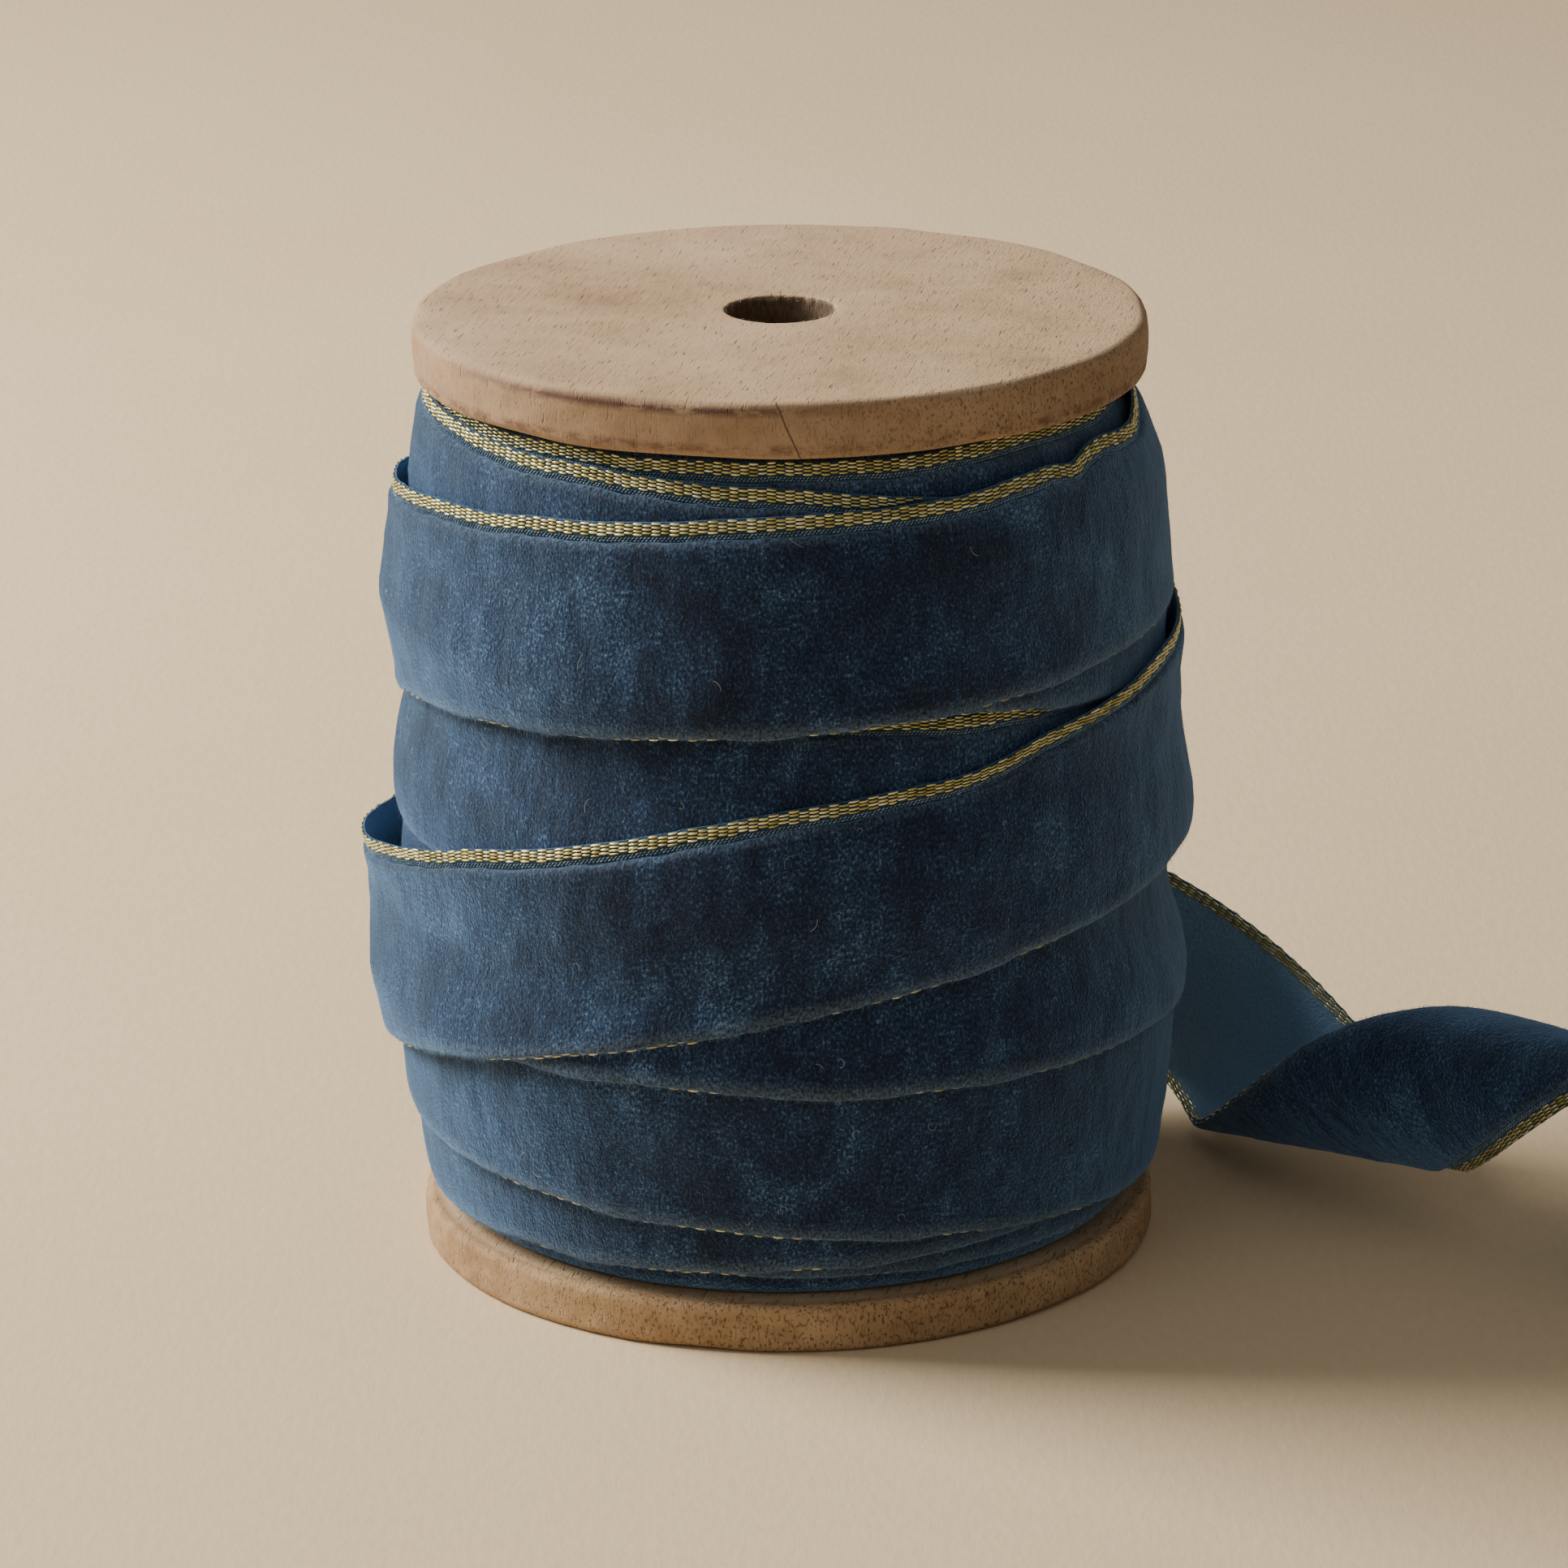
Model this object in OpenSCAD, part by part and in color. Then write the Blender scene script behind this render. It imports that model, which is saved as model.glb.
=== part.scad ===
// Wooden ribbon spool, wound with one long velvet ribbon that has a gold selvedge along each edge.
// Millimetres, +Z up. The origin is on the spool's axis, in the plane that the spool stands on.

/* [Wooden spool] */
// Overall height over both discs
spool_h = 113.5; // [95:0.5:140]
// Radius of the top disc
top_flange_r = 43; // [40:0.5:55]
// Thickness of the top disc
top_flange_t = 6.7; // [5:0.1:10]
// Radius of the bottom disc
bottom_flange_r = 44; // [40:0.5:55]
// Thickness of the bottom disc
bottom_flange_t = 5.9; // [5:0.1:10]
// How far the discs' worn edges are rounded
flange_edge_r = 1; // [0.4:0.1:2]
// Diameter of the spindle hole
bore_d = 12.7; // [8:0.1:16]
// Radius of the barrel that the ribbon is wound on
barrel_r = 26; // [20:0.5:32]
// Radius of the tenon at each end of the barrel
tenon_r = 14; // [11:0.5:18]
// How deep a tenon sits in its disc
tenon_h = 3; // [2:0.1:4]

/* [Ribbon] */
// Width of the ribbon over both selvedges
ribbon_w = 25; // [15:0.5:32]
// Thickness of one wound layer, with its pile pressed down
ribbon_t = 0.9; // [0.6:0.05:1.4]
// Width of a gold selvedge
selvedge_w = 1.5; // [1:0.1:3]
// Thickness of a gold selvedge
selvedge_t = 0.6; // [0.3:0.05:0.9]
// Radius of the hidden turns at the discs
pack_end_r = 40.8; // [36:0.1:50]
// How far the hidden turns bulge at mid height
pack_crown = 3.2; // [1:0.1:5]

/* [Start tape] */
// Height of the paper tape that holds the ribbon's inner end
tape_h = 30; // [20:1:45]
// Thickness of the tape
tape_t = 0.15; // [0.1:0.05:0.3]
// How far the tape reaches round the barrel, in degrees
tape_angle = 60; // [30:5:120]

/* [Fits] */
// Glue gap around a tenon
glue_gap = 0.1; // [0.05:0.05:0.2]
// Gap left under a tenon's end
tenon_end_gap = 0.2; // [0.1:0.05:0.4]
// Gap between the wound ribbon and each disc
wind_gap = 0.3; // [0.2:0.05:0.6]
// Air between two wound layers
layer_gap = 0.2; // [0.1:0.05:0.3]
// Air around the tape
tape_gap = 0.05; // [0.02:0.01:0.1]
// Air between a gold selvedge and the velvet beside it
selvedge_gap = 0.06; // [0.02:0.01:0.1]

/* [Hidden] */
$fn = 96;

bore_r = bore_d / 2;
wood = [0.62, 0.49, 0.36];
velvet = [0.14, 0.22, 0.32];
gold = [0.72, 0.64, 0.38];

// The wound pack fills the space between the discs.
pack_low = bottom_flange_t + wind_gap;
pack_high = spool_h - top_flange_t - wind_gap;
pack_mid = (pack_low + pack_high) / 2;
pack_half = (pack_high - pack_low) / 2;
crown_r = (pow(pack_half, 2) + pow(pack_crown, 2)) / (2 * pack_crown);
crown_x = pack_end_r + pack_crown - crown_r;

// The ribbon's turns, from the innermost visible one outward. Each number is the height of the lower
// edge, 0 against the bottom disc and 100 with the upper edge against the top disc, at every quarter
// turn: back, right, front, left, back and so on. A turn runs from one back to the next.
lifts = [ 8,  2.5,  3.5,  6,
          9,  9,    5,    2,
          2,  4,   11.5, 16.5,
         22, 32,   35.5, 38,
         46, 55,   61,   66.5,
         86, 98.5, 99,   99,
         93, 87,   95.5, 99,
         99, 98,   92,   84,
         73, 62,   47,   26,
         21, 14];
turns = 9;
quarter_steps = 10;          // rings in a quarter turn
step_angle = 90 / quarter_steps;
velvet_w = ribbon_w - 2 * selvedge_w;
facet_w = 4.5;               // widest facet across the velvet
across = ceil(velvet_w / facet_w);
layer_pitch = ribbon_t + layer_gap;
cover_slope_w = 8.5 * layer_pitch;   // width over which a turn comes down off another's edge
gold_w = selvedge_w - selvedge_gap;
gold_starts = [0, ribbon_w - gold_w];
start_fade = 0.7;            // quarter turns over which the first turn comes out from under
start_share = 0.06;          // share of its thickness that it has at its very start

function mix(a, b, t) = a + (b - a) * t;
function clamp01(x) = min(1, max(0, x));
function ease(x) = let (t = clamp01(x)) t * t * (3 - 2 * t);
function unit(v) = v / norm(v);

// A smooth curve through the quarter-turn heights.
function lift_at(q) =
    let (i = min(len(lifts) - 2, max(0, floor(q))), t = q - i,
         a = lifts[max(0, i - 1)], b = lifts[i], c = lifts[i + 1], d = lifts[min(len(lifts) - 1, i + 2)])
    b + t * ((c - a) / 2 + t * (a - 2.5 * b + 2 * c - d / 2 + t * (1.5 * (b - c) + (d - a) / 2)));
function lower_edge(q) = mix(pack_low, pack_high - ribbon_w, lift_at(q) / 100);
function fade(q) = ease(q / start_fade);

// How fully the turn at q lies under a point at height z: 1 over its width, falling to 0 beside it.
function cover(q, z) =
    let (low = lower_edge(q))
    fade(q) * clamp01(1 + (z - low) / cover_slope_w) * clamp01(1 + (low + ribbon_w - z) / cover_slope_w);

// Radius of the hidden turns at height z, and of the inner face of the turn at q.
function pack_r(z) = crown_x + sqrt(pow(crown_r, 2) - pow(z - pack_mid, 2));
function sum(list, i = 0) = i < len(list) ? list[i] + sum(list, i + 1) : 0;
function seat_r(q, z) =
    pack_r(z) / cos(step_angle / 2) + layer_gap * fade(q)
    + layer_pitch * sum([for (p = q - 4; p >= 0; p = p - 4) cover(p, z)]);

function polar(r, a, z) = [r * cos(a), r * sin(a), z];
function on_spool(q, v, out) =
    let (z = lower_edge(q) + v)
    polar(seat_r(q, z) + out * max(start_share, fade(q)), 90 - 90 * q, z);
function turn_ring(q, v0, v1, thick, parts) =
    concat([for (k = [0:parts]) on_spool(q, mix(v0, v1, k / parts), 0)],
           [for (k = [parts:-1:0]) on_spool(q, mix(v0, v1, k / parts), thick)]);
function turn_rings(i, v0, v1, thick, parts) =
    [for (k = [0:4 * quarter_steps]) turn_ring(4 * (i - 1) + k / quarter_steps, v0, v1, thick, parts)];

// The free tail is a flat strip, bent along straight lines that run from its lower edge to its upper
// edge. Each row ends a stretch: the distance along the lower edge, how far the line leans forward
// (as a share of the width), and the stretch's whole bend in degrees, positive with the pile outside.
tail_bends = [[0, 0, 0],
              [16.5, -0.5, -46],
              [33.5, 1.45, 96],
              [41.5, 1.45, 78],
              [63, 1.45, 58],
              [77, 1.45, 59],
              [107, 0.4, 87],
              [122, 1.45, 0],
              [144, 0.7, -63.5],
              [166, 0, 0]];
bend_steps = 4;              // rings in one stretch
tail_az = 50;                // where the middle of the tail leaves the spool
tail_slope = 34;             // how steeply it runs down there
tail_low_z = 18.1;           // height of its lower edge there
tail_off = 1;                // air between it and the turns below it there
lead_steps = 5;              // rings from the last turn's end to there

tail_q = 4 * turns + (90 - tail_az) / 90;
tail_mid_z = tail_low_z + ribbon_w / 2 * cos(tail_slope);
tail_r = seat_r(tail_q, tail_mid_z) + ribbon_t / 2 + tail_off;
tail_along = [sin(tail_az) * cos(tail_slope), -cos(tail_az) * cos(tail_slope), -sin(tail_slope)];
tail_up = [sin(tail_az) * sin(tail_slope), -cos(tail_az) * sin(tail_slope), cos(tail_slope)];
tail_start = [polar(tail_r, tail_az, tail_mid_z) - tail_up * ribbon_w / 2, tail_along, tail_up];

// A frame is an origin on the lower edge, the direction along the strip and the direction across it.
function in_frame(f, s, v) = f[0] + f[1] * s + f[2] * v;
function turned(p, axis, a) = p * cos(a) + cross(axis, p) * sin(a) + axis * (axis * p) * (1 - cos(a));
function folded(f, s, lean, bend) =
    let (p = in_frame(f, s, 0), axis = unit(f[1] * lean + f[2]))
    [p + turned(f[0] - p, axis, -bend), turned(f[1], axis, -bend), turned(f[2], axis, -bend)];
tail_folds = [for (i = [1:len(tail_bends) - 1]) for (k = [1:bend_steps])
              let (a = tail_bends[i - 1], b = tail_bends[i], m = mix(a, b, (k - 0.5) / bend_steps))
              [m[0], m[1], b[2] / bend_steps, mix(a, b, k / bend_steps)]];
tail_frames = [for (i = 0, f = tail_start; i <= len(tail_folds);
                    f = i < len(tail_folds)
                        ? folded(f, tail_folds[i][0], tail_folds[i][1], tail_folds[i][2]) : f,
                    i = i + 1) f];

// A point of the tail's middle surface and its pile side's direction, v across the strip: first on the
// lead that runs from the last turn's end, at share u, then on the strip's ring i.
function strip_point(i, v) =
    let (f = tail_frames[i], line = i == 0 ? tail_bends[0] : tail_folds[i - 1][3])
    [in_frame(f, line[0] + line[1] * v, v), cross(f[2], f[1])];
function lead_point(u, v) =
    let (goal = strip_point(0, v)[0],
         a = mix(90, atan2(goal[1], goal[0]), u),
         z = mix(lower_edge(4 * turns) + v, goal[2], u * (0.5 + 0.5 * u)),
         seat = seat_r(4 * turns + (90 - a) / 90, z) + ribbon_t / 2,
         n = unit(mix(polar(1, a, 0), strip_point(0, v)[1], ease(u))))
    [polar(mix(seat, norm([goal[0], goal[1]]), ease(u)), a, z), n];
function tail_point(i, v, out) =
    let (p = i < lead_steps ? lead_point(i / lead_steps, v) : strip_point(i - lead_steps, v))
    p[0] + p[1] * (out - ribbon_t / 2);
function tail_rings(v0, v1, thick, parts) =
    [for (i = [0:lead_steps + len(tail_folds)])
     concat([for (k = [0:parts]) tail_point(i, mix(v0, v1, k / parts), 0)],
            [for (k = [parts:-1:0]) tail_point(i, mix(v0, v1, k / parts), thick)])];

// A closed solid through a list of rings that have the same number of points. A ring runs along one
// face and back along the other, so each end is closed by a row of quads between the two.
module swept(rings) {
    n = len(rings[0]);
    last = len(rings) - 1;
    end_quads = [for (j = [0:n / 2 - 2]) [j, j + 1, n - 2 - j, n - 1 - j]];
    polyhedron([for (ring = rings) each ring],
               concat([for (quad = end_quads) [for (j = [3:-1:0]) quad[j]]],
                      [for (quad = end_quads) [for (j = quad) last * n + j]],
                      [for (i = [0:last - 1]) for (j = [0:n - 1])
                       let (a = i * n + j, b = i * n + (j + 1) % n)
                       each [[a, b, a + n], [b, b + n, a + n]]]));
}

// A wooden disc with rounded edges, standing on z = 0, with the spindle hole through it.
module disc(r, t) {
    difference() {
        rotate_extrude() {
            square([r - flange_edge_r, t]);
            translate([0, flange_edge_r]) square([r, t - 2 * flange_edge_r]);
            for (z = [flange_edge_r, t - flange_edge_r])
                translate([r - flange_edge_r, z]) circle(flange_edge_r);
        }
        translate([0, 0, -1]) cylinder(h = t + 2, r = bore_r);
    }
}

// The recess for a tenon, cut down from z = 0.
module tenon_recess() {
    depth = tenon_h + tenon_end_gap;
    translate([0, 0, -depth]) cylinder(h = depth + 1, r = tenon_r + glue_gap);
}

module top_flange() {
    color(wood) translate([0, 0, spool_h - top_flange_t]) difference() {
        disc(top_flange_r, top_flange_t);
        rotate([180, 0, 0]) tenon_recess();
    }
}

module bottom_flange() {
    color(wood) difference() {
        disc(bottom_flange_r, bottom_flange_t);
        translate([0, 0, bottom_flange_t]) tenon_recess();
    }
}

module core_barrel() {
    barrel_h = spool_h - top_flange_t - bottom_flange_t;
    color(wood) translate([0, 0, bottom_flange_t]) difference() {
        union() {
            cylinder(h = barrel_h, r = barrel_r);
            translate([0, 0, -tenon_h]) cylinder(h = barrel_h + 2 * tenon_h, r = tenon_r);
        }
        translate([0, 0, -tenon_h - 1]) cylinder(h = barrel_h + 2 * tenon_h + 2, r = bore_r);
    }
}

// The tape, or the pocket for it in the turns above, which is larger by gap on every free side.
module tape_shape(gap) {
    gap_angle = atan(gap / barrel_r);
    translate([0, 0, pack_mid - tape_h / 2 - gap]) rotate(-gap_angle)
        rotate_extrude(angle = tape_angle + 2 * gap_angle)
            translate([barrel_r, 0]) square([tape_t + gap, tape_h + 2 * gap]);
}

module start_tape() {
    color("wheat") tape_shape(0);
}

module wound_layers() {
    color(velvet) difference() {
        rotate_extrude() intersection() {
            translate([barrel_r, pack_low]) square([pack_end_r, pack_high - pack_low]);
            translate([crown_x, pack_mid]) circle(crown_r, $fn = 1440);
        }
        tape_shape(tape_gap);
    }
}

module ribbon_turn(i) {
    color(velvet) swept(turn_rings(i, selvedge_w, ribbon_w - selvedge_w, ribbon_t, across));
}

module gold_edges(i) {
    color(gold) for (v = gold_starts) swept(turn_rings(i, v, v + gold_w, selvedge_t, 1));
}

module ribbon_tail() {
    color(velvet) swept(tail_rings(selvedge_w, ribbon_w - selvedge_w, ribbon_t, across));
}

module tail_gold_edges() {
    color(gold) for (v = gold_starts) swept(tail_rings(v, v + gold_w, selvedge_t, 1));
}

top_flange();
bottom_flange();
core_barrel();
start_tape();
wound_layers();
for (i = [1:turns]) {
    ribbon_turn(i);
    gold_edges(i);
}
ribbon_tail();
tail_gold_edges();
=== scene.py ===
import bpy, math
import numpy as np
from mathutils import Matrix, Vector


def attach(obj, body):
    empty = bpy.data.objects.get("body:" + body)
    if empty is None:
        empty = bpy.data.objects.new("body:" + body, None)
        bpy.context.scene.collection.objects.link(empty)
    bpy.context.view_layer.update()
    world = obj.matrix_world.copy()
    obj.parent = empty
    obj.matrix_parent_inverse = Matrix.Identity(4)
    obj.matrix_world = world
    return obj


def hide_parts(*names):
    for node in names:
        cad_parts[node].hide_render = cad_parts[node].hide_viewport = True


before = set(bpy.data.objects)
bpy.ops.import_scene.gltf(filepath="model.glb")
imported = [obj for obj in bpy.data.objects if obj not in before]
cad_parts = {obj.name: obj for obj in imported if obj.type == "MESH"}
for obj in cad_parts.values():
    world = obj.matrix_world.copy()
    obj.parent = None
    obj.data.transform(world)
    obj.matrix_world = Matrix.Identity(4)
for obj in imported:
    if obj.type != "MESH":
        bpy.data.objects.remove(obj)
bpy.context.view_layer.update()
MM = 0.001

# ---------------------------------------------------------------- camera
CAM_ELEVATION, CAM_DISTANCE, CAM_ROLL = 17.987, 840.7, -0.551
CAM_TARGET = Vector((-0.07, 0.0, 55.15))
CAM_LENS, CAM_SENSOR = 161.9, 36


def make_camera():
    e, roll = math.radians(CAM_ELEVATION), math.radians(CAM_ROLL)
    back = Vector((0, -math.cos(e), math.sin(e)))
    right = Vector((1, 0, 0))
    up = right.cross(-back)
    x = math.cos(roll) * right + math.sin(roll) * up
    y = -math.sin(roll) * right + math.cos(roll) * up
    data = bpy.data.cameras.new("camera")
    data.lens, data.sensor_width = CAM_LENS, CAM_SENSOR
    data.clip_start, data.clip_end = 0.05, 20
    cam = bpy.data.objects.new("camera", data)
    bpy.context.scene.collection.objects.link(cam)
    m = Matrix((x, y, back)).transposed().to_4x4()
    m.translation = (CAM_TARGET + CAM_DISTANCE * back) * MM
    cam.matrix_world = m
    bpy.context.scene.camera = cam


make_camera()

# ---------------------------------------------------------------- sizes, as in part.scad, in millimetres
spool_h, top_flange_r, top_flange_t = 113.5, 43.0, 6.7
bottom_flange_r, bottom_flange_t, flange_edge_r = 44.0, 5.9, 1.0
bore_r, barrel_r, tenon_r, tenon_h = 12.7 / 2, 26.0, 14.0, 3.0
glue_gap, tenon_end_gap = 0.1, 0.2
ribbon_w, ribbon_t, selvedge_w = 25.0, 0.9, 1.5
pack_end_r, pack_crown, wind_gap, layer_gap = 40.8, 3.2, 0.3, 0.2

pack_low = bottom_flange_t + wind_gap
pack_high = spool_h - top_flange_t - wind_gap
pack_mid, pack_half = (pack_low + pack_high) / 2, (pack_high - pack_low) / 2
crown_r = (pack_half ** 2 + pack_crown ** 2) / (2 * pack_crown)
crown_x = pack_end_r + pack_crown - crown_r

# The lower edge's height at every quarter turn, in hundredths of its travel.
# The quarters run back, right, front, left, and so on.
lifts = np.array([8, 2.5, 3.5, 6,
                  9, 9, 5, 2,
                  2, 4, 11.5, 16.5,
                  22, 32, 35.5, 38,
                  46, 55, 61, 66.5,
                  86, 98.5, 99, 99,
                  93, 87, 95.5, 99,
                  99, 98, 92, 84,
                  73, 62, 47, 26,
                  21, 14], float)
turns, step_angle, start_fade, start_share = 9, 9.0, 0.7, 0.06
cover_slope_w = 8.5 * (ribbon_t + layer_gap)
mean_wound_r = 46.3
quarter_len = math.pi / 2 * mean_wound_r


def mix(a, b, t):
    return a + (b - a) * t


def clamp01(x):
    return np.clip(x, 0, 1)


def ease(x):
    t = clamp01(x)
    return t * t * (3 - 2 * t)


def bump(x, centre, width):
    return np.exp(-((x - centre) / width) ** 2)


def grid_random(ix, iy, seed):
    h = (ix.astype(np.int64) * 374761393 + iy.astype(np.int64) * 668265263 + seed * 974634777) & 0xFFFFFFFF
    h = ((h ^ (h >> 13)) * 1274126177) & 0xFFFFFFFF
    h = ((h ^ (h >> 16)) * 2246822519) & 0xFFFFFFFF
    return ((h ^ (h >> 15)) & 0xFFFF) / 32767.5 - 1


def noise(x, y, seed):
    """Smooth noise from -1 to 1 with a cell of 1."""
    x, y = np.broadcast_arrays(np.asarray(x, float), np.asarray(y, float))
    ix, iy = np.floor(x), np.floor(y)
    fx, fy = ease(x - ix), ease(y - iy)
    a, b = grid_random(ix, iy, seed), grid_random(ix + 1, iy, seed)
    c, d = grid_random(ix, iy + 1, seed), grid_random(ix + 1, iy + 1, seed)
    return mix(mix(a, b, fx), mix(c, d, fx), fy)


# ---------------------------------------------------------------- the wound turns
def lift_at(q):
    i = np.clip(np.floor(q), 0, len(lifts) - 2).astype(int)
    t = q - i
    a, b, c = lifts[np.maximum(0, i - 1)], lifts[i], lifts[i + 1]
    d = lifts[np.minimum(len(lifts) - 1, i + 2)]
    return b + t * ((c - a) / 2 + t * (a - 2.5 * b + 2 * c - d / 2 + t * (1.5 * (b - c) + (d - a) / 2)))


def lower_edge(q):
    return mix(pack_low, pack_high - ribbon_w, lift_at(q) / 100)


def fade(q):
    return ease(q / start_fade)


def cover(q, z):
    low = lower_edge(np.maximum(q, 0))
    slope = clamp01(1 + (z - low) / cover_slope_w) * clamp01(1 + (low + ribbon_w - z) / cover_slope_w)
    return np.where(q < 0, 0, fade(q) * slope)


def pack_r(z):
    return crown_x + np.sqrt(crown_r ** 2 - (z - pack_mid) ** 2)


def seat_r(q, z):
    r = pack_r(z) / math.cos(math.radians(step_angle / 2)) + layer_gap * fade(q)
    for back in range(1, turns + 1):
        r = r + (ribbon_t + layer_gap) * cover(q - 4 * back, z)
    return r


def polar(r, a, z):
    return np.stack([r * np.cos(np.radians(a)), r * np.sin(np.radians(a)), z + 0 * r], -1)


def stand_off(q, v):
    """How far the ribbon's upper and lower edges stand off the spool where a turn is loose."""
    up = clamp01(v / ribbon_w) ** 2
    down = clamp01(1 - v / ribbon_w)
    return up * (1.3 * bump(q, 31.05, 0.42) + 4.1 * bump(q, 35.05, 0.40)
                 + 0.4 * bump(q, 33.15, 0.22) + 0.9 * bump(q, 29.2, 0.16)) \
        + down * (1.2 * bump(q, 33.1, 0.35) + 0.7 * bump(q, 35, 0.4) + 0.5 * bump(q, 31, 0.35))


def squeeze(a, z):
    """How much smaller the whole winding is close under the top disc, most of all at the right."""
    right = (0.5 + 0.5 * np.cos(np.radians(a))) ** 2
    return 0.8 * ease((z - 60) / 14) + ease((z - 93) / 13) * (0.3 + 1.2 * right)


def edge_shift(q, v):
    """Waves along the ribbon's edges, and the small folds in the upper edges of the two outermost bands."""
    s, t = q * quarter_len, clamp01(v / ribbon_w)
    low = 0.28 * noise(s / 11, 0.3, 3) + 0.09 * noise(s / 2.6, 0.7, 4)
    high = 0.38 * noise(s / 9, 5.3, 5) + 0.11 * noise(s / 2.3, 8.7, 6)
    folds = -0.9 * bump(q, 29.6, 0.3) - 1.0 * bump(q, 29.43, 0.035) - 1.3 * bump(q, 29.21, 0.09) \
        - 1.2 * bump(q, 33.72, 0.13) + 0.8 * bump(q, 33.2, 0.1)
    return mix(low, high + folds, t)


def wound(q, v, out):
    """A point on a wound turn: q in quarter turns, v across from the lower edge, out from its inner face."""
    z = lower_edge(q) + v + edge_shift(q, v)
    z = np.clip(z, pack_low - 0.1, pack_high + 0.1)
    thick = np.maximum(start_share, fade(q))
    a = 90 - 90 * q
    return polar(seat_r(q, z) + stand_off(q, v) - squeeze(a, z) + out * thick, a, z)


def hidden(q, v):
    """How far a point of the turn at q is covered by one of the next three turns."""
    z = lower_edge(q) + v
    over = 0
    for more in (4, 8, 12):
        low = lower_edge(np.minimum(q + more, 4 * turns + 0.9))
        on = clamp01((z - low + 0.5) / 1.5) * clamp01((low + ribbon_w + 0.5 - z) / 1.5)
        over = np.maximum(over, np.where(q + more < 4 * turns + 0.5, on, 0))
    return over


# ---------------------------------------------------------------- the free tail
# Each row ends a stretch: distance along the lower edge, forward lean of the bend line, bend in degrees.
tail_bends = np.array([[0, 0, 0],
                       [16.5, -0.5, -46],
                       [33.5, 1.45, 96],
                       [41.5, 1.45, 78],
                       [63, 1.45, 58],
                       [77, 1.45, 59],
                       [107, 0.4, 87],
                       [122, 1.45, 0],
                       [144, 0.7, -63.5],
                       [166, 0, 0]], float)
bend_steps = 24
tail_az, tail_slope, tail_low_z, tail_off = 50.0, 34.0, 18.1, 1.0
lead_len = 38.0
tail_len = tail_bends[-1][0]


def tail_setup():
    az, sl = math.radians(tail_az), math.radians(tail_slope)
    mid_z = tail_low_z + ribbon_w / 2 * math.cos(sl)
    r = float(seat_r(np.array(4 * turns + (90 - tail_az) / 90), np.array(mid_z))) + ribbon_t / 2 + tail_off
    along = np.array([math.sin(az) * math.cos(sl), -math.cos(az) * math.cos(sl), -math.sin(sl)])
    up = np.array([math.sin(az) * math.sin(sl), -math.cos(az) * math.sin(sl), math.cos(sl)])
    p = np.array([r * math.cos(az), r * math.sin(az), mid_z]) - up * ribbon_w / 2
    frames, lines = [(p, along, up)], [np.zeros(2)]
    for a, b in zip(tail_bends[:-1], tail_bends[1:]):
        for k in range(1, bend_steps + 1):
            m = mix(a, b, (k - 0.5) / bend_steps)
            p, along, up = frames[-1]
            hinge, axis = p + along * m[0], along * m[1] + up
            turn = Matrix.Rotation(-math.radians(b[2]) / bend_steps, 3, Vector(axis).normalized())
            turn = np.array(turn)
            frames.append((hinge + turn @ (p - hinge), turn @ along, turn @ up))
            lines.append(mix(a, b, k / bend_steps)[:2])
    return [np.array([f[j] for f in frames]) for j in range(3)], np.array(lines)


(tail_p, tail_along, tail_up), tail_lines = tail_setup()
tail_pile = np.cross(tail_up, tail_along)


def tail(s, v, out):
    """A point on the tail: s along from where it leaves the spool, v across, out from its back.

    s is negative on the lead, the stretch between the last turn and the free part.
    """
    s, v, out = np.broadcast_arrays(np.asarray(s, float), np.asarray(v, float), np.asarray(out, float))
    shape = s.shape
    s, v, out = s.ravel(), v.ravel(), out.ravel()
    # the stretch between bend lines that the point lies in, and how far through it
    starts = tail_lines[:, 0][None, :] + tail_lines[:, 1][None, :] * v[:, None]
    starts[:, 0] = 0
    starts[:, -1] = tail_len + 50
    i = np.clip((starts <= s[:, None]).sum(1) - 1, 0, len(tail_lines) - 2)
    lo, hi = starts[np.arange(len(s)), i], starts[np.arange(len(s)), i + 1]
    t = clamp01((s - lo) / np.maximum(hi - lo, 1e-6))[:, None]
    pile = mix(tail_pile[i], tail_pile[np.minimum(i + 1, len(tail_p) - 1)], t)
    pile /= np.linalg.norm(pile, axis=1)[:, None]
    on = tail_p[i] + tail_along[i] * s[:, None] + tail_up[i] * v[:, None]
    # the lead, from the end of the last turn
    u = np.clip(1 + s / lead_len, -0.02, 1)
    goal = tail_p[0] + tail_up[0] * v[:, None]
    a = mix(90, np.degrees(np.arctan2(goal[:, 1], goal[:, 0])), u)
    q = 4 * turns + (90 - a) / 90
    z = mix(lower_edge(np.full_like(v, 4 * turns)) + v, goal[:, 2], u * (0.5 + 0.5 * u))
    z = z + (1 - u) * edge_shift(np.full_like(v, 4 * turns), v)
    seat = seat_r(q, z) + ribbon_t / 2
    lead = polar(mix(seat, np.hypot(goal[:, 0], goal[:, 1]), ease(u)), a, z)
    n = mix(polar(np.ones_like(a), a, 0 * a), tail_pile[0][None, :], ease(u)[:, None])
    n /= np.linalg.norm(n, axis=1)[:, None]
    first = (s < 0)[:, None]
    p = np.where(first, lead, on) + np.where(first, n, pile) * (out - ribbon_t / 2)[:, None]
    # where it lies on the table the cloth is pressed flat, its back under its pile
    p[:, 2] = np.maximum(p[:, 2], 0.02 + 0.35 * np.clip(out, 0, 1.3))
    return p.reshape(shape + (3,))


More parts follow.
